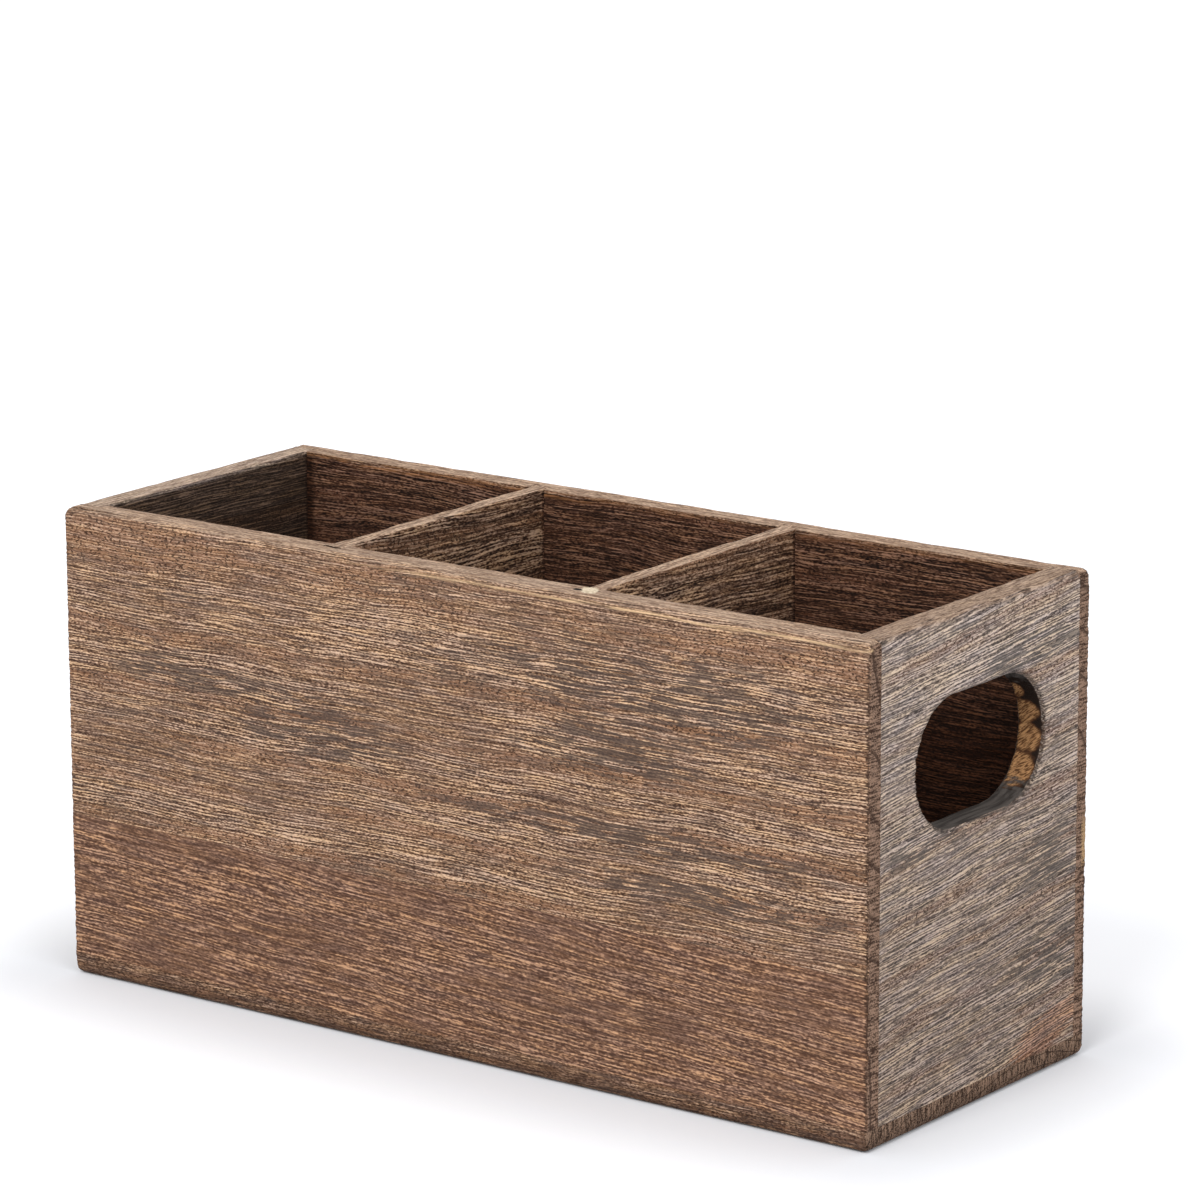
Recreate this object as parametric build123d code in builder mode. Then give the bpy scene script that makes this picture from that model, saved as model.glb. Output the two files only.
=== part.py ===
"""Wooden caddy: an open box of thin boards with two dividers and a hand hole in each end.

Millimetres. The origin is the middle of the underside, +X runs along the length, +Z is up
and the front board is on the -Y side.
"""
from build123d import *
import os

os.makedirs("parts", exist_ok=True)

# Outside of the glued-up box
caddy_length = 228.0
caddy_depth = 88.0
caddy_height = 114.0

# Boards
side_thickness = 7.5
end_thickness = 7.5
divider_thickness = 4.4
bottom_thickness = 5.2

# The front and the back are each glued up from two boards: heights of the two edge joints
front_glue_line = 39.5
back_glue_line = 42.0

# The dividers and the end panels are let into the front and the back equally deep, the dividers
# in housings and the panels in rabbets
housing_depth = 3.0
housing_side_clearance = 0.15
housing_end_clearance = 0.2

# Hand hole in each end, an obround cut through the panel, its edges eased with sandpaper
hand_hole_width = 50.6
hand_hole_height = 30.0
hand_hole_drop = 18.0
hand_hole_easing = 0.7

# Edges sanded after the box is glued up
rim_outer_round = 2.2
rim_inner_round = 0.4
base_round = 2.3
corner_round = 0.9

# Brads of flattened wire, driven up through the bottom into the four walls
brad_width = 1.25
brad_gauge = 1.05
brad_length = 15.0
brad_point = 0.4
brad_head_width = 2.1
brad_head_thickness = 0.8
brad_setback = 0.4
brad_end_margin = 20.0
brads_along_side = 3
brads_along_end = 2

# Places that follow from the sizes above
half_length = caddy_length / 2
half_depth = caddy_depth / 2
inner_half_length = half_length - end_thickness
inner_half_depth = half_depth - side_thickness
panel_half_width = inner_half_depth + housing_depth
wall_height = caddy_height - bottom_thickness
hand_hole_z = caddy_height - hand_hole_drop - hand_hole_height / 2

# The two dividers part the box into three equal compartments
compartment_width = (2 * inner_half_length - 2 * divider_thickness) / 3
compartment_pitch = compartment_width + divider_thickness
divider_x = compartment_pitch / 2

# Brads stand on the middle lines of the walls, with their wide sides along the walls
side_brads = GridLocations(
    (caddy_length - 2 * brad_end_margin) / (brads_along_side - 1),
    caddy_depth - side_thickness,
    brads_along_side,
    2,
)
end_brads = GridLocations(
    caddy_length - end_thickness,
    (caddy_depth - 2 * brad_end_margin) / (brads_along_end - 1),
    2,
    brads_along_end,
)
quarter_turn = Location((0, 0, 0), (0, 0, 90))
brad_places = side_brads.locations + [place * quarter_turn for place in end_brads.locations]

standing = (Align.CENTER, Align.CENTER, Align.MIN)
tolerance = 0.001


def edges_at_height(builder, height):
    """Edges of the part that lie in the level plane at this height."""
    return builder.edges().filter_by_position(Axis.Z, height - tolerance, height + tolerance)


def edges_round_compartments(edges):
    """Those of the edges that are inside the four walls."""
    in_length = edges.filter_by_position(Axis.X, -inner_half_length, inner_half_length)
    return in_length.filter_by_position(Axis.Y, -inner_half_depth, inner_half_depth)


def edges_round_hand_holes(builder):
    """Edges of the part that are within the height and the width of the hand holes."""
    hole_bottom = caddy_height - hand_hole_drop - hand_hole_height
    in_height = builder.edges().filter_by_position(
        Axis.Z, hole_bottom - tolerance, hole_bottom + hand_hole_height + tolerance
    )
    half_width = hand_hole_width / 2 + tolerance
    in_width = in_height.filter_by_position(Axis.Y, -half_width, half_width)
    return in_width.filter_by(
        lambda edge: edge.bounding_box().size.X < tolerance
        and abs(edge.center().X) > inner_half_length - tolerance
    )


def keep_share(low, high):
    """Leaves the share of the sanded box that lies between two opposite corners."""
    add(sanded_box.part)
    size = [upper - lower for lower, upper in zip(low, high)]
    middle = [(lower + upper) / 2 for lower, upper in zip(low, high)]
    with Locations(tuple(middle)):
        Box(*size, mode=Mode.INTERSECT)


def cut_joints(side):
    """Cuts the dividers' housings and the end panels' rabbets in a front (-1) or back (1) board."""
    housing_width = divider_thickness + 2 * housing_side_clearance
    inner_y = side * inner_half_depth
    with Locations((-divider_x, inner_y, bottom_thickness), (divider_x, inner_y, bottom_thickness)):
        Box(housing_width, 2 * housing_depth, wall_height, align=standing, mode=Mode.SUBTRACT)
    with Locations((-half_length, inner_y, bottom_thickness), (half_length, inner_y, bottom_thickness)):
        Box(2 * end_thickness, 2 * housing_depth, wall_height, align=standing, mode=Mode.SUBTRACT)


def save(builder, name):
    """Labels a finished piece and writes its STEP file."""
    builder.part.label = name
    export_step(builder.part, f"parts/{name}.step")


# The whole box as one solid with its sanded edges. Each board below is its share of this shape,
# so the roundings run on from board to board, as on a box that is sanded after it is glued.
with BuildPart() as sanded_box:
    Box(caddy_length, caddy_depth, caddy_height, align=standing)
    fillet(sanded_box.edges().filter_by(Axis.Z), radius=corner_round)
    fillet(edges_at_height(sanded_box, caddy_height), radius=rim_outer_round)
    fillet(edges_at_height(sanded_box, 0), radius=base_round)
    with BuildSketch(Plane.XY.offset(bottom_thickness)):
        with GridLocations(compartment_pitch, 1, 3, 1):
            Rectangle(compartment_width, 2 * inner_half_depth)
    extrude(amount=wall_height, mode=Mode.SUBTRACT)
    rim_edges = edges_at_height(sanded_box, caddy_height)
    fillet(edges_round_compartments(rim_edges), radius=rim_inner_round)
    for outward in (-1, 1):
        with BuildSketch(Plane.YZ.offset(outward * half_length)):
            with Locations((0, hand_hole_z)):
                SlotOverall(hand_hole_width, hand_hole_height)
        extrude(amount=-outward * end_thickness, mode=Mode.SUBTRACT)
    chamfer(edges_round_hand_holes(sanded_box), length=hand_hole_easing)

# Ten brads, one node: each has its head below the face of the bottom and its point in a wall
with BuildPart() as bottom_brads:
    with Locations(*brad_places):
        with Locations((0, 0, brad_setback)):
            Box(brad_width, brad_gauge, brad_length, align=standing)
            Box(brad_head_width, brad_gauge, brad_head_thickness, align=standing)
    chamfer(edges_at_height(bottom_brads, brad_setback + brad_length), length=brad_point)
save(bottom_brads, "bottom_brads")

# The bottom lies under all four walls, and the brads pass through it
with BuildPart() as bottom_board:
    keep_share((-half_length, -half_depth, 0), (half_length, half_depth, bottom_thickness))
    add(bottom_brads.part, mode=Mode.SUBTRACT)
    with Locations(*brad_places):
        Box(brad_head_width, brad_gauge, brad_setback, align=standing, mode=Mode.SUBTRACT)
save(bottom_board, "bottom_board")

# The front and the back run the full length, and each is two boards glued edge to edge
for side, side_name, glue_line in ((-1, "front", front_glue_line), (1, "back", back_glue_line)):
    inner_y, outer_y = sorted((side * inner_half_depth, side * half_depth))
    with BuildPart() as lower_board:
        keep_share((-half_length, inner_y, bottom_thickness), (half_length, outer_y, glue_line))
        cut_joints(side)
        add(bottom_brads.part, mode=Mode.SUBTRACT)
    save(lower_board, f"{side_name}_lower_board")
    with BuildPart() as upper_board:
        keep_share((-half_length, inner_y, glue_line), (half_length, outer_y, caddy_height))
        cut_joints(side)
    save(upper_board, f"{side_name}_upper_board")

# The ends stand in the rabbets of the front and the back, and each has its hand hole
for outward, end_name in ((-1, "left"), (1, "right")):
    low_x, high_x = sorted((outward * inner_half_length, outward * half_length))
    with BuildPart() as end_panel:
        keep_share(
            (low_x, -panel_half_width, bottom_thickness),
            (high_x, panel_half_width, caddy_height),
        )
        add(bottom_brads.part, mode=Mode.SUBTRACT)
    save(end_panel, f"{end_name}_end_panel")

# The dividers stand on the bottom with their ends in the housings, level with the rim
divider_reach = panel_half_width - housing_end_clearance
for place_x, divider_name in ((-divider_x, "left_divider"), (divider_x, "right_divider")):
    with BuildPart() as divider:
        keep_share(
            (place_x - divider_thickness / 2, -divider_reach, bottom_thickness),
            (place_x + divider_thickness / 2, divider_reach, caddy_height),
        )
    save(divider, divider_name)
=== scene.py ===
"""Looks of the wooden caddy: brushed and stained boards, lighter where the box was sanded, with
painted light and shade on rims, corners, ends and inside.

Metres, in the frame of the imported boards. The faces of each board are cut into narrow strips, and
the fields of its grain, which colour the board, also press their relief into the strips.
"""
import math
from collections import namedtuple

import bmesh
import bpy
from mathutils import Matrix, Vector


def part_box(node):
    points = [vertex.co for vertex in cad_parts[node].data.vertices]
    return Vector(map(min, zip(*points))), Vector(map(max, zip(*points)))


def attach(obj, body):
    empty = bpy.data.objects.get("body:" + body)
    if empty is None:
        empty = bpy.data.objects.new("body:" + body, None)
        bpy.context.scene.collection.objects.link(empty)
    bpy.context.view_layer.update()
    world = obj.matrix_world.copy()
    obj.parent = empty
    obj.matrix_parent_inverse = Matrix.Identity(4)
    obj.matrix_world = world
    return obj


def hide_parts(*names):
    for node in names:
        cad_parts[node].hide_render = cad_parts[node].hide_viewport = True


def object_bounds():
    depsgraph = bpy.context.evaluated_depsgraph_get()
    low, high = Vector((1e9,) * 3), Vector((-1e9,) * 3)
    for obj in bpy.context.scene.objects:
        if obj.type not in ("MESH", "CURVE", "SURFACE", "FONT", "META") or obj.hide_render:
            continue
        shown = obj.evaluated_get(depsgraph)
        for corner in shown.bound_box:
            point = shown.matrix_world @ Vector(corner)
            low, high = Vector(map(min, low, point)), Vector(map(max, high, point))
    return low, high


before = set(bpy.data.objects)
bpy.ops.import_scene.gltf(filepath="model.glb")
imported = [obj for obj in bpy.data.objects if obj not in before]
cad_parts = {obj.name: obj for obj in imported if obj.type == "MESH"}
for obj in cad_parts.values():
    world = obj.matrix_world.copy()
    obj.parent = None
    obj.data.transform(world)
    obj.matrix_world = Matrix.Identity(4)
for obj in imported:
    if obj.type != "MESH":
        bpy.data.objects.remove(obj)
CAD_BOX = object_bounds()
MM = 0.001

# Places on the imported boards, in millimetres, as all places and sizes of the grain are
HALF_LENGTH, HALF_DEPTH, HEIGHT = (part / MM for part in CAD_BOX[1])
WALL_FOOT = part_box("bottom_board")[1][2] / MM
INNER_HALF_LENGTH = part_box("right_end_panel")[0][0] / MM
INNER_HALF_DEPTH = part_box("back_upper_board")[0][1] / MM
RIM_ROUND = 2.2
# The hand holes: the level of their middle, the middle and the radius of their round ends, and
# half their width and height with the eased edges
HOLE_LEVEL = HEIGHT - 33
HOLE_END_MIDDLE = 10.3
HOLE_RADIUS = 15
HOLE_HALF_WIDTH, HOLE_HALF_HEIGHT = 26, 16

# Strips that the faces are cut into: their sizes through the board, across it and along its grain
STRIP_SIZES = ((0.62, 0.45, 2.2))
RELIEF_DEPTH = 0.28
DEEPEST_CHIP = 1.1
BUMP_DEPTH = 0.25
# Points nearer than this are one point, in metres
WELD_DISTANCE = 1e-6
SHARP_ANGLE = math.radians(40)
# How far apart two seeds lie in the noise
SEED_STRIDE = 7.31
# Width of a pair of fine lines of grain, and how far the lines wander, in radians of their wave
LINE_SPACING = 0.74
LINE_WANDER = 15


def screen(red, green, blue):
    """A colour written as it looks on a screen, from 0 to 255, as the shader's linear one."""
    levels = (red / 255, green / 255, blue / 255)
    return tuple(
        level / 12.92 if level <= 0.04045 else ((level + 0.055) / 1.055) ** 2.4 for level in levels
    ) + (1.0,)


class Value:
    """A number in a node tree. Its operators add Math nodes."""

    def __init__(self, nodes, socket):
        self.nodes = nodes
        self.socket = socket

    def math(self, operation, *others):
        """What a Math node makes of this value and the others."""
        values = dict(enumerate((self, *others)))
        return self.nodes.add("ShaderNodeMath", {"operation": operation}, values)

    def __add__(self, other):
        return self.math("ADD", other)

    __radd__ = __add__

    def __sub__(self, other):
        return self.math("SUBTRACT", other)

    def __rsub__(self, other):
        return (self * -1).math("ADD", other)

    def __mul__(self, other):
        return self.math("MULTIPLY", other)

    __rmul__ = __mul__

    def __truediv__(self, other):
        return self.math("DIVIDE", other)

    def __pow__(self, other):
        return self.math("POWER", other)

    def __abs__(self):
        return self.math("ABSOLUTE")

    def step(self, low, high, start=0.0, end=1.0):
        """Goes smoothly from start to end while the value goes from low to high."""
        return self.nodes.add(
            "ShaderNodeMapRange",
            {"interpolation_type": "SMOOTHSTEP"},
            {"Value": self, "From Min": low, "From Max": high, "To Min": start, "To Max": end},
        )

    def near(self, place, width):
        """1 at a place, falling smoothly to 0 at that distance from it."""
        return abs(self - place).step(width, 0.0)


class Nodes:
    """Builds one node tree, a shader's or a geometry's."""

    def __init__(self, tree):
        self.tree = tree

    def add(self, kind, settings=None, inputs=None, output=0):
        """Adds a node, makes its settings, then fills its sockets with values or links.

        What comes back is one of its outputs, chosen by number or by name.
        """
        node = self.tree.nodes.new(kind)
        for name, value in (settings or {}).items():
            if name == "stops":
                self.set_stops(node.color_ramp.elements, value)
            else:
                setattr(node, name, value)
        for key, value in (inputs or {}).items():
            socket = node.inputs[key]
            if isinstance(value, Value):
                value = value.socket
            if isinstance(value, bpy.types.NodeSocket):
                self.tree.links.new(value, socket)
            else:
                socket.default_value = value
        return Value(self, node.outputs[output] if node.outputs else None)

    def set_stops(self, elements, stops):
        """Gives a colour ramp its stops, each a position and a colour."""
        while len(elements) < len(stops):
            elements.new(1.0)
        for element, (position, colour) in zip(elements, stops):
            element.position = position
            element.color = colour

    def split(self, vector):
        """The three parts of a vector."""
        first = self.add("ShaderNodeSeparateXYZ", inputs={0: vector})
        return [Value(self, part) for part in first.socket.node.outputs]

    def millimetres(self, vector):
        """The three parts of a place in metres, turned into millimetres."""
        return [part * (1 / MM) for part in self.split(vector)]

    def join(self, parts):
        """The vector that has these parts."""
        return self.add("ShaderNodeCombineXYZ", inputs=dict(enumerate(parts)))

    def length(self, parts):
        """The length of the vector that has these parts."""
        vector = self.join(parts)
        return self.add(
            "ShaderNodeVectorMath", {"operation": "LENGTH"}, {0: vector}, output="Value"
        )

    def noise(self, place, size, seed, detail=0.0, roughness=0.5):
        """Noise from 0 to 1 whose features have this size along the three parts of a place."""
        parts = [part / length + seed * SEED_STRIDE for part, length in zip(place, size)]
        return self.add(
            "ShaderNodeTexNoise",
            inputs={
                "Vector": self.join(parts),
                "Scale": 1.0,
                "Detail": detail,
                "Roughness": roughness,
            },
        )

    def ramp(self, value, stops):
        """The colour of a ramp at a value."""
        return self.add("ShaderNodeValToRGB", {"stops": stops}, {0: value})

    def blend(self, factor, first, second, kind="MIX"):
        """The first colour turning into the second as the factor goes from 0 to 1."""
        # A Mix node has sockets for each kind of data: 6, 7 and output 2 are those for colours
        return self.add(
            "ShaderNodeMix",
            {"data_type": "RGBA", "blend_type": kind},
            {0: factor, 6: first, 7: second},
            output=2,
        )


def new_material(name):
    """An empty material and the builder of its nodes."""
    material = bpy.data.materials.new(name)
    material.use_nodes = True
    material.node_tree.nodes.clear()
    return material, Nodes(material.node_tree)


# A board's grain and finish. Its axes run along the grain, through the thickness and across the
# width. Pith, ring and phase place the growth rings. Slant is how far the fibres wander, tilt how
# they lean, and fine and long how wide and long they are. Details are the functions that add what
# is special to its faces. Smoked holds the middle and half size of each scorched area, along and
# across the grain
Board = namedtuple(
    "Board",
    "axes pith ring seed slant look details phase tilt fine long smoked",
    defaults=(0.0, 0.0, 1.0, 1.0, ()),
)
# How a board is coloured: its shades from dark to light, the place among them that it keeps to,
# the strength of each kind of mark, and the colours of its scorched flecks and of its end grain
Look = namedtuple(
    "Look",
    "shades base lines threads marks grit dashes streaks patches pores rings smoke slate"
    " end_dark end_light",
)
SHADE_STOPS = (0.08, 0.24, 0.38, 0.5, 0.62, 0.76, 0.92)


def shades(*colours):
    """Stops of a colour ramp, from dark to light."""
    return [(place, screen(*colour)) for place, colour in zip(SHADE_STOPS, colours)]


def in_board(parts, board):
    """The parts of a vector along, through and across the board."""
    return [parts["XYZ".index(axis)] for axis in board.axes]


def grain(nodes, place, board):
    """The fields of a board's grain, each about from 0 to 1, from a place in the caddy.

    The size of a noise is given along the grain, through the board and across it. Noise at the
    plain spot lies in patches, and noise in the flow follows the fibres.
    """
    spot = in_board(place, board)
    along, through, across = spot
    seed = board.seed
    drift = nodes.noise(spot, (44, 24, 20), seed + 1, detail=1.0) - 0.5
    ripple = nodes.noise(spot, (11, 5, 4.5), seed + 2) - 0.5
    waved = across + along * board.tilt + drift * board.slant + ripple * (0.15 * board.slant)
    flow = (along / board.long, through / board.fine, waved / board.fine)
    pith_through, pith_across = board.pith
    radius = nodes.length((through - pith_through, waved - pith_across, 0.0))
    uneven = nodes.noise(spot, (60, 14, 10), seed + 3, detail=2.0) - 0.5
    turn = (radius / board.ring + uneven * 0.5 + board.phase).math("FRACT")
    wander = nodes.noise(flow, (20, 1.5, 1.5), seed + 14, detail=1.0)
    wave = (flow[1] + flow[2]) * (math.tau / LINE_SPACING) + wander * LINE_WANDER
    return {
        "turn": turn,
        "early": turn.step(0.0, 0.1) * turn.step(0.5, 0.16),
        "line": wave.math("SINE") * 0.5 + 0.5,
        "thread": nodes.noise(flow, (14, 0.29, 0.29), seed + 4, detail=0.6),
        "mark": nodes.noise(flow, (3.0, 0.29, 0.29), seed + 6),
        "grit": nodes.noise(flow, (0.8, 0.27, 0.27), seed + 10),
        "dash": nodes.noise(flow, (4.4, 0.42, 0.42), seed + 15, detail=0.5),
        "pore": nodes.noise((along, flow[1], flow[2]), (0.7, 0.3, 0.3), seed + 7),
        "blotch": nodes.noise(flow, (6.5, 0.75, 0.75), seed + 5, detail=1.5),
        "streak": nodes.noise(flow, (13, 1.2, 1.2), seed + 9, detail=1.0),
        "patch": nodes.noise(spot, (38, 12, 10), seed + 8, detail=2.0),
        "hue": nodes.noise(flow, (12, 1.6, 1.6), seed + 12, detail=2.5, roughness=0.6),
        "ridge": nodes.noise(flow, (12, 0.6, 0.6), seed + 13, detail=0.5),
        "rays": nodes.noise(spot, (4, 3.5, 0.42), seed + 17),
    }


def relief(fields):
    """Depth of the brushed relief, from 0 on the hard ridges to 1 in the soft furrows."""
    return (
        fields["ridge"].step(0.62, 0.4) * 0.6
        + fields["streak"].step(0.62, 0.4) * 0.2
        + fields["early"] * 0.2
    )


def oval(*spans):
    """Squared distance from the middle of an oval, 1 on its edge.

    Each of the two spans is a distance from the middle and the oval's half size in that direction.
    """
    first, second = (distance / half_size for distance, half_size in spans)
    return first ** 2.0 + second ** 2.0


def smoked_areas(nodes, place, board):
    """1 in the middle of the board's scorched areas, falling to 0 at their edges."""
    spot = in_board(place, board)
    along, through, across = spot
    cloud = nodes.noise(spot, (38, 12, 10), board.seed + 11, detail=2.0)
    total = cloud.step(0.48, 0.75) * 0.5
    for middle, level, length, width in board.smoked:
        away = oval((along - middle, length), (across - level, width))
        total = total + away.step(1.2, 0.0)
    return total.math("MINIMUM", 1.0)


def face_colour(nodes, place, fields, board):
    """The colour of a brushed and stained face that lies along the grain."""
    look = board.look
    band = fields["early"] * (fields["patch"] + fields["streak"] * 0.5).step(0.58, 0.8) * look.rings
    thread = fields["thread"].step(0.4, 0.6)
    fibres = (
        (fields["line"] - 0.5) * (thread * 0.6 + 0.7) * look.lines
        + (thread - 0.5) * look.threads
        + (fields["mark"].step(0.4, 0.6) - 0.5) * look.marks
        + (fields["grit"].step(0.38, 0.62) - 0.5) * look.grit
    )
    lively = fields["patch"].step(0.32, 0.62, 0.72, 1.2) * (1 - band * 0.4)
    shade = (
        fibres * lively
        + (fields["streak"] - 0.5) * look.streaks
        + (fields["patch"] - 0.5) * look.patches
        + fields["dash"].step(0.56, 0.64) * look.dashes
        + look.base
    )
    colour = nodes.ramp(shade, look.shades)
    tint = nodes.blend(fields["hue"].step(0.32, 0.68), screen(242, 245, 255), screen(255, 252, 243))
    colour = nodes.blend(1.0, colour, tint, "MULTIPLY")
    colour = nodes.blend(band * 0.35, colour, screen(152, 108, 78))
    pores = fields["pore"].step(0.59, 0.67) * (band + look.pores).math("MINIMUM", 1.0)
    colour = nodes.blend(pores * 0.85, colour, screen(50, 30, 21))
    smoked = smoked_areas(nodes, place, board)
    smoke = (fields["blotch"] - (fields["thread"] - 0.5) * 0.4 + smoked * 0.1).step(0.54, 0.61)
    return nodes.blend(smoke * (smoked * 0.4 + 0.36) * look.smoke, colour, look.slate)


def end_grain_colour(nodes, fields, board):
    """The colour of a face that is sawn across the grain: rings, and fibres seen end on."""
    look = board.look
    cells = (fields["mark"] * 0.4 + fields["thread"] * 0.2 + fields["rays"] * 0.5).step(0.42, 0.68)
    late = fields["turn"].step(0.82, 0.95) * fields["turn"].step(1.0, 0.97)
    colour = nodes.blend(cells, look.end_dark, look.end_light)
    return nodes.blend(late * 0.8, colour, look.end_dark)


def on_rim(z):
    """1 on the level part of the rim, falling to 0 down its rounding."""
    return z.step(HEIGHT - RIM_ROUND, HEIGHT - 0.5)


def near_rim(z):
    """1 on the whole rim, 0 on the sides just below it."""
    return z.step(HEIGHT - 3, HEIGHT - 2)


def from_hole_edge(nodes, y, z):
    """Distance from the edge of a hand hole, less than 0 inside the hole."""
    beside = (abs(y) - HOLE_END_MIDDLE).math("MAXIMUM", 0.0)
    return nodes.length((beside, z - HOLE_LEVEL, 0.0)) - HOLE_RADIUS


# The details of the boards: each takes the colour of the face so far, and gives it back with one
# thing added to it


def sanded_rim_and_painted_light(nodes, place, normal, fields, colour):
    """Paler, dust-coloured wood on the level part of the rim, where the stain was sanded off, made
    paler still as painted light from above.
    """
    level = on_rim(place[2]) * normal[2].step(0.5, 0.95)
    grains = fields["thread"] * 0.45 + fields["mark"] * 0.35 + fields["grit"] * 0.2
    # Painted light: the sanded tone is raised so the upward faces of the rim look lit from above
    sanded_and_lit_tone = nodes.blend(grains.step(0.38, 0.62), screen(142, 116, 97), screen(214, 186, 162))
    return nodes.blend(level * 0.62, colour, sanded_and_lit_tone)


def sanded_and_highlight_line(nodes, place, normal, fields, colour):
    """A pale line under the rim of the front, from the middle to the right: partly sanded wood,
    partly a painted highlight along the rounded arris.
    """
    x, y, z = place
    wander = (fields["patch"] - 0.5) * 1.2 + (fields["streak"] - 0.5) * 1.0
    line = (z + wander).near(HEIGHT - 1.8, 0.6) * y.step(-HALF_DEPTH + 1.8, -HALF_DEPTH + 1.2)
    strength = x.step(-50, 25) * 0.7 * fields["thread"].step(0.3, 0.5)
    # Painted highlight where the rounding of the rim meets the front, with sanded wood
    return nodes.blend(line * strength, colour, screen(228, 192, 150))


def painted_shade_arrises(nodes, place, normal, fields, colour):
    """Painted shade: dark, broken lines down the upright corners at the right."""
    x, y, z = place
    reach = fields["ridge"].step(0.35, 0.65) * 0.7 + 0.35
    edge = (x - HALF_LENGTH + reach).step(-0.2, 0.35) * (abs(y) - HALF_DEPTH + 0.7).step(0, 0.5)
    broken = fields["mark"].step(0.3, 0.55) * 0.35 + 0.55
    below_rim = z.step(HEIGHT - 3.0, HEIGHT - 7.0)
    # Painted shade along the rounded upright corners
    return nodes.blend(edge * below_rim * broken, colour, screen(58, 40, 31))


def stain_and_painted_shade_inside(nodes, place, normal, fields, colour):
    """Darker inside the compartments, partly stain and partly painted shade: darker deeper down,
    darkest on the left end and reddest on the back.
    """
    x, y, z = place
    inside = abs(x).step(INNER_HALF_LENGTH + 0.6, INNER_HALF_LENGTH + 0.3)
    inside = inside * abs(y).step(INNER_HALF_DEPTH + 0.6, INNER_HALF_DEPTH + 0.3)
    inside = inside * z.step(HEIGHT - 0.3, HEIGHT - 1.6) * normal[2].step(0.9, 0.3)
    # Painted shade on top of a darker stain: the walls get darker deeper down in the compartments
    depth = z.step(HEIGHT, HEIGHT - 45, 0.25, 1.0)
    colour = nodes.blend(inside * depth, colour, screen(138, 118, 104), "MULTIPLY")
    # Stain and painted shade: the left end's inner face is the darkest
    left_end = x.step(3 - INNER_HALF_LENGTH, 1 - INNER_HALF_LENGTH)
    colour = nodes.blend(inside * left_end, colour, screen(152, 138, 126), "MULTIPLY")
    # Red stain and painted shade: the back's inner face is darker and redder
    back = y.step(INNER_HALF_DEPTH - 0.6, INNER_HALF_DEPTH - 0.2)
    colour = nodes.blend(inside * back, colour, screen(200, 183, 180), "MULTIPLY")
    # Painted shade: the furrows inside are darkened towards near-black
    furrows = fields["thread"].step(0.56, 0.44) * 0.4 + fields["mark"].step(0.54, 0.44) * 0.2
    return nodes.blend(inside * furrows * (back * 0.25 + 0.75), colour, screen(28, 17, 12))


def painted_shade_to_foot(nodes, place, normal, fields, colour):
    """Painted shade: the end panels get darker from the rim to the foot, as if lit from above."""
    return nodes.blend(place[2].step(HEIGHT, 20), colour, screen(230, 226, 222), "MULTIPLY")


def rusty_patch(nodes, place, normal, fields, colour):
    """A reddish patch low on the right end, near the back."""
    x, y, z = place
    middle, level, slope = 29, 10, 0.25
    beside = y - middle
    away = oval((beside, 16), (z - level - beside * slope, 5.0))
    patch = (away + (fields["blotch"] - 0.5) * 2.5).step(1.2, 0.2)
    return nodes.blend(patch * 0.8, colour, screen(255, 222, 202), "MULTIPLY")


def dull_rim(nodes, place, normal, fields, colour):
    """The right end's rim is duller than the others."""
    return nodes.blend(on_rim(place[2]), colour, screen(226, 220, 215), "MULTIPLY")


def golden_scar(nodes, place, normal, fields, colour):
    """Paler wood on the back's end grain, where its edge was knocked."""
    x, y, z = place
    level, reach = 51, 8
    ragged = (fields["mark"] - 0.5) * 6 + (fields["rays"] - 0.5) * 3
    scar = (z + ragged).near(level, reach).step(0.0, 0.6)
    scar = scar * x.step(HALF_LENGTH - 1.2, HALF_LENGTH - 0.4)
    scar = scar * (y + ragged * 0.2).step(HALF_DEPTH - 2.6, HALF_DEPTH - 1.6)
    strength = fields["mark"].step(0.3, 0.6, 0.3, 0.7)
    return nodes.blend(scar * strength, colour, screen(200, 164, 118))


def hole_scorch_and_painted_shade(nodes, place, normal, fields, colour):
    """A hand hole: its wall darkened, partly scorch and partly painted shade, with golden lobes of
    end grain, and its edge darkened by singeing and painted shade.
    """
    x, y, z = place
    near_hole = z.step(HEIGHT - 10, HEIGHT - 12) * abs(y).step(30.5, 28.5)
    wall = abs(normal[0]).step(0.8, 0.45) * near_hole
    ragged = (nodes.noise(place, (1.6, 1.6, 1.6), 5, detail=1.5) - 0.5) * 1.5
    lobes = 0.0
    for from_middle, level, length, height in LOBES:
        away = oval((abs(x) - from_middle, length), (z - level, height))
        lobes = (away + ragged * 0.5).step(1.35, 0.45) + lobes
    lobes = lobes.math("MINIMUM", 1.0)
    cells = nodes.noise((x, y, z - abs(x) * 0.7), (1.6, 0.5, 0.34), 6, detail=1.0).step(0.36, 0.64)
    golden = nodes.blend(cells, screen(94, 61, 37), screen(190, 143, 97))
    brown = nodes.blend(lobes.step(0.0, 0.6), screen(36, 25, 19), screen(84, 54, 34))
    sawn = nodes.blend(lobes.step(0.35, 1.0), brown, golden)
    soot = fields["streak"].step(0.35, 0.65)
    # Scorch and painted shade: the along-grain walls of the hole are darkened to grey-brown
    scorched = nodes.blend(soot, screen(60, 55, 52), screen(88, 82, 78))
    wall_colour = nodes.blend(abs(normal[1]).step(0.5, 0.72), scorched, sawn)
    # Singeing and painted shade: a dark ring round the edge of the hole
    singed_and_painted_shade = (from_hole_edge(nodes, y, z) + ragged * 0.8).step(1.5, 0.3)
    singed_and_painted_shade = singed_and_painted_shade * abs(y).step(8, 16) * near_hole
    colour = nodes.blend(singed_and_painted_shade * 0.6, colour, screen(60, 50, 44))
    return nodes.blend(wall, colour, wall_colour)


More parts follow.
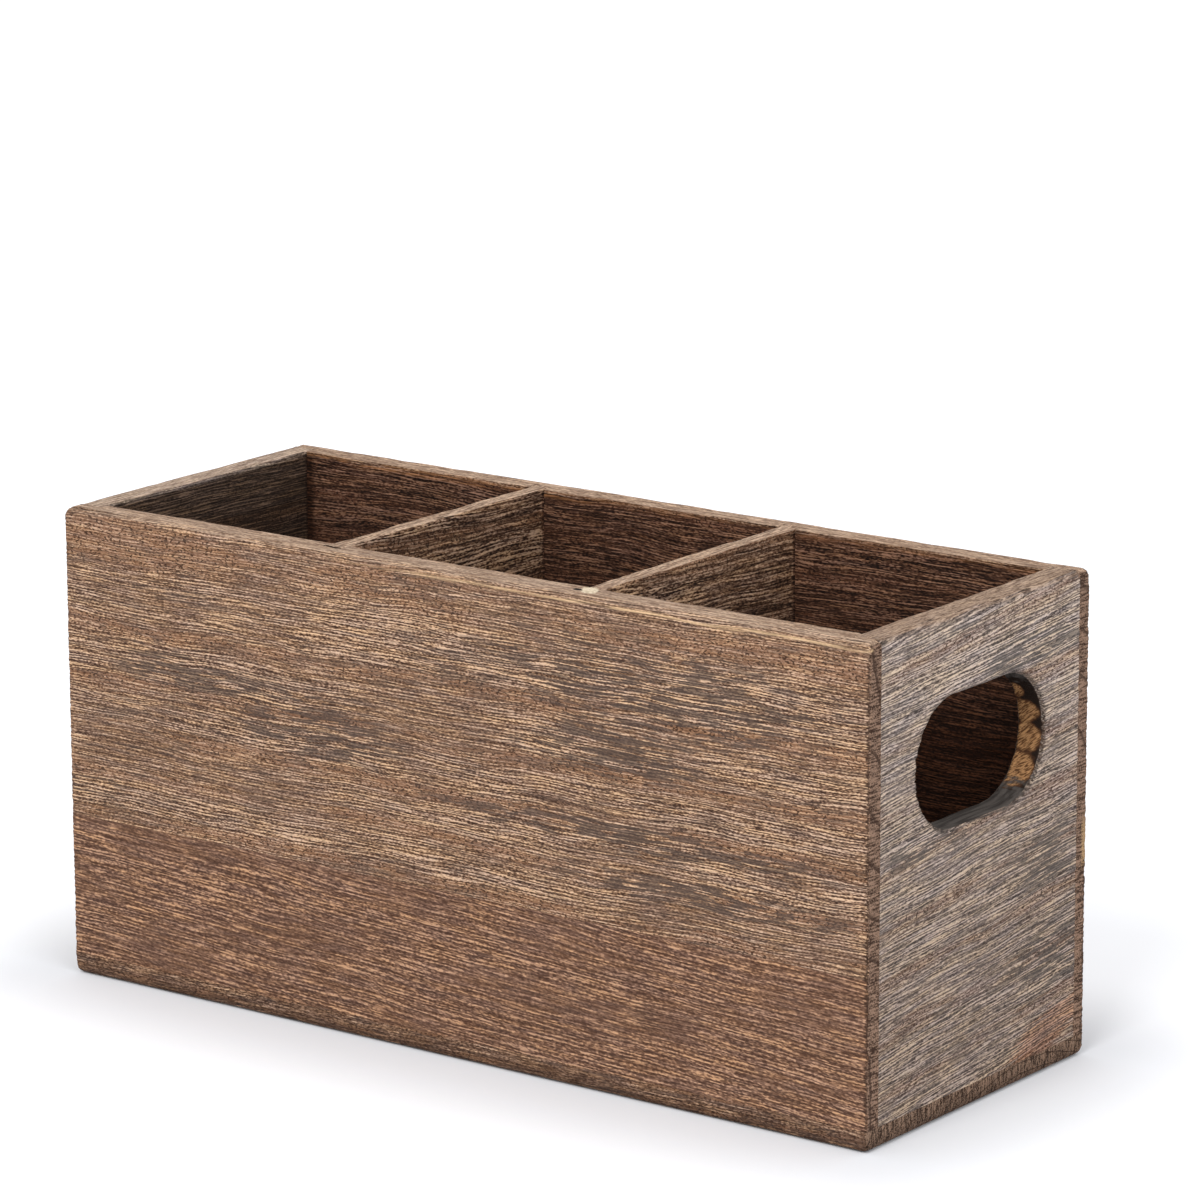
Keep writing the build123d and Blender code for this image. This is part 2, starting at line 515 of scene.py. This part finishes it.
def filler_chip(nodes, place, normal, fields, colour):
    """A chip of cream filler where the right divider is let into the front, and painted shadow for
    the gap beside it.
    """
    x, y, z = place
    ragged = (nodes.noise(place, (0.9, 0.9, 0.9), 8, detail=1.0) - 0.5) * 1.4
    right, back = x - 36.2, y + 39.1
    long_way, short_way = right * 0.6 - back * 0.8, right * 0.8 + back * 0.6
    chip = (oval((long_way, 3.1), (short_way, 2.0)) + ragged).step(1.2, 0.85)
    tone = nodes.blend(ragged.step(-0.25, 0.25), screen(206, 186, 158), screen(240, 224, 198))
    colour = nodes.blend(chip * near_rim(z), colour, tone)
    # Painted shadow: the gap beside the chip is painted near-black
    gap = (oval((x - 33.7, 1.3), (y + 40.2, 0.7)) + ragged).step(1.2, 0.7)
    return nodes.blend(gap * near_rim(z), colour, screen(20, 13, 10))


def painted_shadow_gap(nodes, place, normal, fields, colour):
    """Painted shadow: the open end of the left divider's housing, painted near-black."""
    x, y, z = place
    bend = (x + 36.2) * 0.08
    gap = x.near(-37.0, 3.0).step(0, 0.35) * (y + bend).near(-39.7, 0.6).step(0, 0.5)
    # Painted shadow in place of the gap
    return nodes.blend(gap * near_rim(z) * 0.9, colour, screen(26, 17, 13))


def torn_rim(nodes, place, normal, fields, colour):
    """Orange wood where the inner edge of the back's rim was torn."""
    x, y, z = place
    torn = nodes.noise(place, (9, 1.0, 0.6), 9, detail=2.5).step(0.44, 0.6)
    inner_edge = y.step(INNER_HALF_DEPTH + 1.2, INNER_HALF_DEPTH + 0.3)
    torn = torn * z.near(HEIGHT - 1.2, 1.2) * inner_edge
    strength = (x.step(20, -60) * 0.55 + 0.2) * fields["mark"].step(0.3, 0.6, 0.5, 1.0)
    return nodes.blend(torn * strength, colour, screen(190, 132, 86))


def darker_foot(nodes, place, normal, fields, colour):
    """Darker wood at the foot, where the bottom board shows."""
    foot = place[2].step(WALL_FOOT, 0.6)
    return nodes.blend(foot, colour, screen(206, 202, 200), "MULTIPLY")


def wood(name, board):
    """The material of one board."""
    material, nodes = new_material(name)
    place = nodes.millimetres(nodes.add("ShaderNodeTexCoord", output="Object"))
    normal = nodes.split(nodes.add("ShaderNodeNewGeometry", output="Normal"))
    fields = grain(nodes, place, board)
    colour = face_colour(nodes, place, fields, board)
    sawn = abs(in_board(normal, board)[0]).step(0.5, 0.8)
    colour = nodes.blend(sawn, colour, end_grain_colour(nodes, fields, board))
    for detail in board.details:
        colour = detail(nodes, place, normal, fields, colour)
    furrow = fields["thread"].step(0.6, 0.4)
    pit = fields["pore"].step(0.57, 0.66)
    height = (1 - relief(fields)) * 0.2 - furrow * 0.45 - pit * 0.3 + fields["grit"] * 0.35
    bump = nodes.add(
        "ShaderNodeBump", inputs={"Strength": 0.8, "Distance": BUMP_DEPTH * MM, "Height": height}
    )
    shader = nodes.add(
        "ShaderNodeBsdfPrincipled",
        inputs={
            "Base Color": colour,
            "Roughness": 0.74 + furrow * 0.14,
            "Normal": bump,
            "Specular IOR Level": 0.14,
        },
    )
    nodes.add("ShaderNodeOutputMaterial", inputs={"Surface": shader})
    return material


UPPER_LOOK = Look(
    shades=shades(
        (66, 46, 36), (95, 70, 55), (119, 91, 72), (141, 110, 88),
        (163, 130, 105), (188, 153, 125), (224, 188, 156),
    ),
    base=0.52,
    lines=0.62,
    threads=0.14,
    marks=0.18,
    grit=0.42,
    dashes=0.0,
    streaks=0.02,
    patches=0.22,
    pores=0.3,
    rings=1.0,
    smoke=1.0,
    slate=screen(80, 67, 61),
    end_dark=screen(62, 43, 33),
    end_light=screen(156, 126, 106),
)
LOWER_LOOK = UPPER_LOOK._replace(
    shades=shades(
        (80, 55, 43), (97, 69, 54), (111, 81, 64), (126, 94, 75),
        (145, 110, 88), (169, 130, 103), (203, 159, 125),
    ),
    base=0.43,
    lines=0.42,
    threads=0.12,
    marks=0.14,
    grit=0.34,
    dashes=0.25,
    streaks=0.02,
    patches=0.1,
    rings=0.0,
    smoke=0.4,
)
END_LOOK = UPPER_LOOK._replace(
    shades=shades(
        (72, 63, 58), (98, 86, 80), (121, 107, 99), (144, 128, 119),
        (169, 151, 138), (195, 175, 159), (225, 203, 184),
    ),
    base=0.61,
    lines=0.66,
    threads=0.12,
    marks=0.16,
    grit=0.36,
    streaks=0.02,
    patches=0.14,
    rings=0.8,
    slate=screen(91, 85, 82),
)
INNER_LOOK = UPPER_LOOK._replace(
    shades=shades(
        (30, 17, 11), (62, 40, 28), (94, 66, 49), (124, 92, 71),
        (152, 118, 94), (184, 148, 120), (222, 186, 154),
    ),
    base=0.6,
    lines=0.36,
    threads=0.26,
    marks=0.26,
    streaks=0.3,
    smoke=0.4,
)
DIVIDER_LOOK = INNER_LOOK._replace(base=0.58)
BOTTOM_LOOK = UPPER_LOOK._replace(
    base=0.4,
    lines=0.2,
    threads=0.2,
    marks=0.2,
    grit=0.3,
    streaks=0.1,
    pores=0.6,
    end_dark=screen(54, 38, 28),
    end_light=screen(150, 122, 102),
)
# Golden lobes on the wall of a hand hole: distance from the caddy's middle, level and half sizes
LOBES = (
    (108.0, 89.2, 2.0, 1.9),
    (109.0, 84.2, 3.9, 2.8),
    (109.4, 78.2, 4.3, 3.3),
    (109.2, 71.4, 4.3, 3.6),
)
# Middle and half size of the scorched areas of the front and of the right end, along and up them
FRONT_SMOKED = (
    (58, 94, 52, 13),
    (46, 79, 30, 8),
    (-40, 72, 28, 10),
    (-75, 79, 26, 5),
    (52, 61, 70, 4),
    (72, 50, 50, 4),
)
RIGHT_SMOKED = ((28, 50, 18, 9), (30, 27, 20, 10), (20, 100, 26, 5), (-22, 64, 20, 4))
# What the front and the back have in common
EDGES = (stain_and_painted_shade_inside, painted_shade_arrises, sanded_rim_and_painted_light)

BOARDS = {
    "front_upper_board": Board(
        axes="XYZ", pith=(-2, 119), ring=8.9, seed=11, slant=3.0, look=UPPER_LOOK,
        details=(*EDGES, sanded_and_highlight_line, filler_chip, painted_shadow_gap), phase=0.3, smoked=FRONT_SMOKED,
    ),
    "front_lower_board": Board(
        axes="XYZ", pith=(-290, 10), ring=8.0, seed=23, slant=2.0, look=LOWER_LOOK,
        details=EDGES, tilt=0.05, fine=1.25, long=1.2,
    ),
    "back_upper_board": Board(
        axes="XYZ", pith=(20, 60), ring=9.0, seed=37, slant=4.5, look=INNER_LOOK,
        details=(*EDGES, torn_rim, golden_scar), fine=1.1, long=1.2,
    ),
    "back_lower_board": Board(
        axes="XYZ", pith=(-260, 20), ring=8.0, seed=41, slant=3.0, look=LOWER_LOOK,
        details=EDGES, tilt=-0.04, fine=1.1,
    ),
    "left_end_panel": Board(
        axes="YXZ", pith=(-60, 150), ring=11.0, seed=53, slant=2.0, look=END_LOOK,
        details=(painted_shade_to_foot, stain_and_painted_shade_inside, hole_scorch_and_painted_shade, sanded_rim_and_painted_light), tilt=0.02, long=1.2,
    ),
    "right_end_panel": Board(
        axes="YXZ", pith=(60, 150), ring=11.0, seed=61, slant=1.6, look=END_LOOK,
        details=(painted_shade_to_foot, rusty_patch, stain_and_painted_shade_inside, hole_scorch_and_painted_shade, sanded_rim_and_painted_light, dull_rim),
        tilt=-0.08, long=1.2, smoked=RIGHT_SMOKED,
    ),
    "left_divider": Board(
        axes="YXZ", pith=(-110, 160), ring=9.0, seed=71, slant=3.5, look=DIVIDER_LOOK,
        details=(stain_and_painted_shade_inside, sanded_rim_and_painted_light, painted_shadow_gap), tilt=0.06, fine=1.3, long=1.3,
    ),
    "right_divider": Board(
        axes="YXZ", pith=(-30, 160), ring=9.0, seed=83, slant=3.5, look=DIVIDER_LOOK,
        details=(stain_and_painted_shade_inside, sanded_rim_and_painted_light, filler_chip), tilt=0.05, fine=1.3, long=1.3,
    ),
    "bottom_board": Board(
        axes="XZY", pith=(-60, 20), ring=2.6, seed=97, slant=4.0, look=BOTTOM_LOOK,
        details=(darker_foot,), fine=1.2,
    ),
}


def cut_across(mesh, axis, low, high, step):
    """Cuts the faces of the mesh with planes across an axis, about a step of millimetres apart."""
    count = max(1, round((high - low) / (step * MM)))
    facing = Vector([float(index == axis) for index in range(3)])
    for index in range(1, count):
        point = facing * (low + (high - low) * index / count)
        everything = mesh.verts[:] + mesh.edges[:] + mesh.faces[:]
        bmesh.ops.bisect_plane(
            mesh, geom=everything, dist=WELD_DISTANCE, plane_co=point, plane_no=facing
        )


def strips(node, board):
    """A copy of a board's solid with its faces cut into narrow strips along the grain."""
    low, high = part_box(node)
    mesh = bmesh.new()
    mesh.from_mesh(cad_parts[node].data)
    bmesh.ops.remove_doubles(mesh, verts=mesh.verts[:], dist=WELD_DISTANCE)
    along, through, across = ("XYZ".index(axis) for axis in board.axes)
    for axis, size in zip((through, across, along), STRIP_SIZES):
        cut_across(mesh, axis, low[axis], high[axis], size)
    return mesh


def open_side(point, normal, board):
    """Where a point of the surface may sink: inwards, but never on a glued face."""
    # How near a face and the outside of the box count as there, and the least part of a normal
    near_face, near_outside, least_part = 0.1, 0.5, 0.2
    x, y, z = (abs(part) / MM for part in point)
    through = board.axes[1]
    between_sides = y < INNER_HALF_DEPTH + near_face
    inside = between_sides and x < INNER_HALF_LENGTH + near_face
    in_end = through == "X" and x > INNER_HALF_LENGTH - 1
    in_hole = in_end and y < HOLE_HALF_WIDTH and abs(z - HOLE_LEVEL) < HOLE_HALF_HEIGHT
    x_open = x > HALF_LENGTH - (RIM_ROUND if through == "X" else near_outside)
    y_open = y > HALF_DEPTH - (RIM_ROUND if through == "Y" else near_outside)
    free = (
        x_open or (through == "X" and between_sides),
        y_open or in_hole or (through == "Y" and inside),
        z > HEIGHT - RIM_ROUND or z < near_outside or in_hole or (through == "Z" and inside),
    )
    return [-part if may and abs(part) > least_part else 0.0 for part, may in zip(normal, free)]


def chipped_hole(nodes, place):
    """How far fibres broke out of the front end of a hand hole, in millimetres towards -Y."""
    x, y, z = place
    chips = nodes.noise(place, (6, 30, 1.1), 14, detail=2.0, roughness=0.7).step(0.5, 0.72)
    at_edge = from_hole_edge(nodes, y, z).step(1.8, 0.2)
    return chips * at_edge * y.step(-13, -19) * DEEPEST_CHIP


def press_tree(name, board):
    """A geometry tree that sinks a board's surface by the relief of its grain."""
    tree = bpy.data.node_groups.new(name, "GeometryNodeTree")
    tree.interface.new_socket("Board", in_out="INPUT", socket_type="NodeSocketGeometry")
    depth = tree.interface.new_socket("Depth", in_out="INPUT", socket_type="NodeSocketFloat")
    look = tree.interface.new_socket("Material", in_out="INPUT", socket_type="NodeSocketMaterial")
    tree.interface.new_socket("Board", in_out="OUTPUT", socket_type="NodeSocketGeometry")
    nodes = Nodes(tree)
    group = nodes.add("NodeGroupInput").socket.node
    place = nodes.millimetres(nodes.add("GeometryNodeInputPosition"))
    sink = relief(grain(nodes, place, board)) * Value(nodes, group.outputs["Depth"])
    side = nodes.add(
        "GeometryNodeInputNamedAttribute", {"data_type": "FLOAT_VECTOR"}, {"Name": "open_side"}
    )
    offset = nodes.add(
        "ShaderNodeVectorMath", {"operation": "SCALE"}, {"Vector": side, "Scale": sink}
    )
    pressed = nodes.add(
        "GeometryNodeSetPosition", inputs={"Geometry": group.outputs["Board"], "Offset": offset}
    )
    if hole_scorch_and_painted_shade in board.details:
        away = nodes.join((0.0, chipped_hole(nodes, place) * -MM, 0.0))
        pressed = nodes.add("GeometryNodeSetPosition", inputs={"Geometry": pressed, "Offset": away})
    plain = nodes.add("GeometryNodeRealizeInstances", inputs={"Geometry": pressed})
    painted = nodes.add(
        "GeometryNodeSetMaterial",
        inputs={"Geometry": plain, "Material": group.outputs["Material"]},
    )
    nodes.add("NodeGroupOutput", inputs={"Board": painted})
    return tree, {"Depth": depth.identifier, "Material": look.identifier}


def finished(source, name):
    """A new object whose plain mesh is what the source's modifiers make of it."""
    depsgraph = bpy.context.evaluated_depsgraph_get()
    mesh = bpy.data.meshes.new_from_object(source.evaluated_get(depsgraph))
    mesh.name = name
    bpy.data.objects.remove(source)
    result = bpy.data.objects.new(name, mesh)
    bpy.context.collection.objects.link(result)
    return result


def make_board(node, board):
    """One board in its finished shape and finish, in place of its plain solid."""
    cut = strips(node, board)
    cut.normal_update()
    mesh = bpy.data.meshes.new(node + "_strips")
    sides = [open_side(vertex.co, vertex.normal, board) for vertex in cut.verts]
    cut.to_mesh(mesh)
    cut.free()
    attribute = mesh.attributes.new("open_side", "FLOAT_VECTOR", "POINT")
    attribute.data.foreach_set("vector", [part for side in sides for part in side])
    source = bpy.data.objects.new(node + "_source", mesh)
    bpy.context.collection.objects.link(source)
    tree, names = press_tree(node + "_relief", board)
    modifier = source.modifiers.new("relief", "NODES")
    modifier.node_group = tree
    modifier[names["Depth"]] = RELIEF_DEPTH * MM
    modifier[names["Material"]] = wood(node + "_wood", board)
    piece = finished(source, node + "_wood")
    piece.data.polygons.foreach_set("use_smooth", [True] * len(piece.data.polygons))
    piece.data.set_sharp_from_angle(angle=SHARP_ANGLE)
    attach(piece, "root")
    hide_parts(node)


def paint_brads():
    """Bright wire on the brads, which only show from below."""
    material, nodes = new_material("brad_wire")
    place = nodes.millimetres(nodes.add("ShaderNodeTexCoord", output="Object"))
    scuffs = nodes.noise(place, (0.5, 0.5, 0.5), 5, detail=3.0)
    colour = nodes.blend(scuffs, screen(150, 148, 144), screen(205, 203, 198))
    shader = nodes.add(
        "ShaderNodeBsdfPrincipled",
        inputs={"Base Color": colour, "Metallic": 1.0, "Roughness": 0.3 + scuffs * 0.2},
    )
    nodes.add("ShaderNodeOutputMaterial", inputs={"Surface": shader})
    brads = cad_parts["bottom_brads"]
    brads.data.materials.clear()
    brads.data.materials.append(material)


def seen_directly(nodes):
    """1 for what the camera sees, also through glass or in a mirror."""
    rays = nodes.add("ShaderNodeLightPath").socket.node.outputs
    camera, glossy, clear = (
        Value(nodes, rays[name])
        for name in ("Is Camera Ray", "Is Glossy Ray", "Is Transmission Ray")
    )
    return camera.math("MAXIMUM", glossy).math("MAXIMUM", clear)


def make_floor():
    """A wide pale floor, white to the camera except where the caddy's shadow falls, and with a
    dimmer glow near its foot as painted shadow.
    """
    mesh = bpy.data.meshes.new("floor")
    reach = 5.0
    corners = [(x * reach, y * reach, 0) for x, y in ((-1, -1), (1, -1), (1, 1), (-1, 1))]
    mesh.from_pydata(corners, [], [(0, 1, 2, 3)])
    floor = bpy.data.objects.new("floor", mesh)
    bpy.context.collection.objects.link(floor)
    material, nodes = new_material("floor_paper")
    paper = nodes.add("ShaderNodeBsdfDiffuse", inputs={"Color": screen(238, 240, 245)})
    x, y = nodes.split(nodes.add("ShaderNodeTexCoord", output="Object"))[:2]
    beyond = [
        (abs(part) - half * MM).math("MAXIMUM", 0.0)
        for part, half in ((x, HALF_LENGTH), (y, HALF_DEPTH))
    ]
    from_foot = nodes.length((*beyond, 0.0))
    # Painted shadow: the floor's glow is dimmer near the caddy's foot and rises away from it
    painted_shadow_glow = from_foot.step(0.0, 0.055, 0.02, 0.3) + from_foot.step(0.1, 0.8, 0.0, 0.12)
    grey = nodes.blend(painted_shadow_glow, (0, 0, 0, 1), (1, 1, 1, 1))
    glow = nodes.add("ShaderNodeEmission", inputs={"Color": grey, "Strength": seen_directly(nodes)})
    both = nodes.add("ShaderNodeAddShader", inputs={0: paper, 1: glow})
    nodes.add("ShaderNodeOutputMaterial", inputs={"Surface": both})
    mesh.materials.append(material)


def make_world():
    """Even studio light from all round, white where the camera sees past the floor."""
    world = bpy.data.worlds.new("studio")
    world.use_nodes = True
    world.node_tree.nodes.clear()
    nodes = Nodes(world.node_tree)
    strength = seen_directly(nodes).step(0.0, 1.0, 0.72, 1.0)
    light = nodes.add("ShaderNodeBackground", inputs={"Color": (1, 1, 1, 1), "Strength": strength})
    nodes.add("ShaderNodeOutputWorld", inputs={"Surface": light})
    bpy.context.scene.world = world


def make_light(name, place, size, power, colour):
    """A square soft light that faces the middle of the caddy."""
    middle = Vector((0, 0, 0.05))
    lamp = bpy.data.lights.new(name, "AREA")
    lamp.energy = power
    lamp.size = size
    lamp.color = colour
    light = bpy.data.objects.new(name, lamp)
    light.location = place
    light.rotation_euler = (middle - Vector(place)).to_track_quat("-Z", "Y").to_euler()
    bpy.context.collection.objects.link(light)


def make_camera():
    """The photograph's view: about 37 degrees round from the front and 14 degrees down."""
    yaw, pitch, roll = (math.radians(angle) for angle in (36.72, 13.61, -0.22))
    middle = Vector((0, 0, 0.0456))
    distance, shift_right, shift_up = 1.3723, 0.00771, 0.05179
    back = Vector(
        (math.sin(yaw) * math.cos(pitch), -math.cos(yaw) * math.cos(pitch), math.sin(pitch))
    )
    right = Vector((math.cos(yaw), math.sin(yaw), 0))
    up = back.cross(right)
    turned_right = right * math.cos(roll) + up * math.sin(roll)
    turned_up = up * math.cos(roll) - right * math.sin(roll)
    data = bpy.data.cameras.new("camera")
    data.sensor_width = 36.0
    data.lens = 177.9
    camera = bpy.data.objects.new("camera", data)
    place = middle + back * distance + turned_right * shift_right + turned_up * shift_up
    axes = Matrix((turned_right, turned_up, back)).transposed()
    camera.matrix_world = Matrix.Translation(place) @ axes.to_4x4()
    bpy.context.collection.objects.link(camera)
    bpy.context.scene.camera = camera


make_camera()
make_world()
make_light("key", (0.3, -1.55, 1.45), size=0.9, power=20, colour=(1.0, 0.985, 0.96))
make_light("fill", (1.7, -0.7, 1.1), size=1.2, power=10, colour=(0.95, 0.98, 1.0))
make_floor()
for name, board in BOARDS.items():
    make_board(name, board)
paint_brads()

bpy.context.scene.view_settings.view_transform = "Standard"
bpy.context.view_layer.update()
